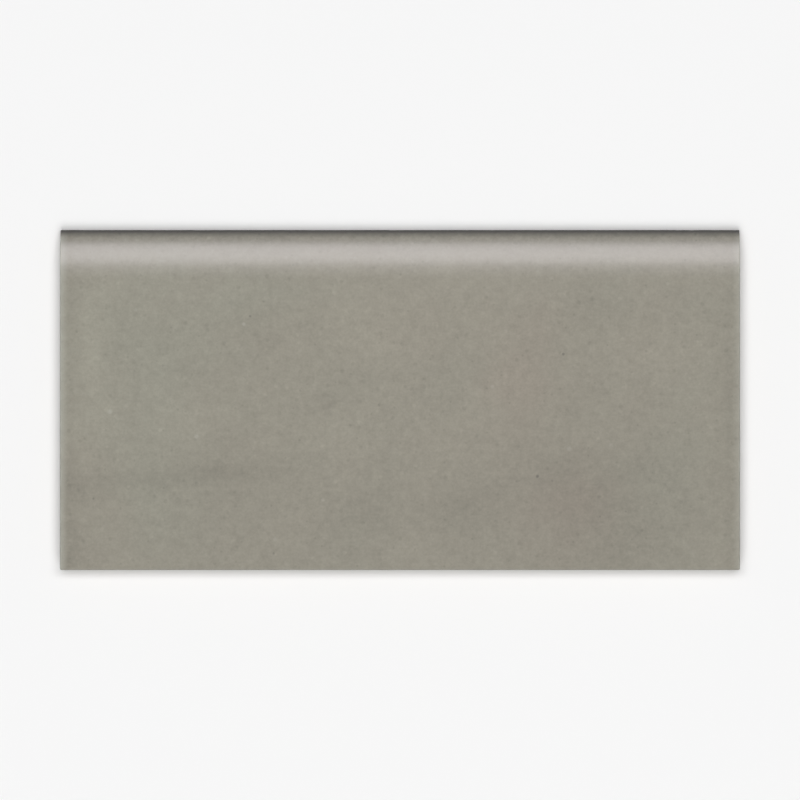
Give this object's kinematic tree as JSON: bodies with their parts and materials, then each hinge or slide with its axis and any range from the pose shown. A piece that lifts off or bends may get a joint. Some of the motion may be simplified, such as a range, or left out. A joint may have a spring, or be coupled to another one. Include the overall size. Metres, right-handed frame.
{
  "type": "bullnose tile",
  "caption": "Rectangular glazed ceramic wall tile with a long edge rounded over to finish an exposed course, and a grooved back for adhesive.",
  "frame": {"origin": "middle of the back, on the plane of its ribs", "axes": "+X along the tile's length, +Y across its width towards the rounded edge, +Z out of the glazed face"},
  "size_m": [0.1524, 0.0762, 0.008],
  "materials": {
    "glaze": "satin"
  },
  "bodies": {
    "root": {"bullnose_tile": "glaze"}
  },
  "joints": []
}
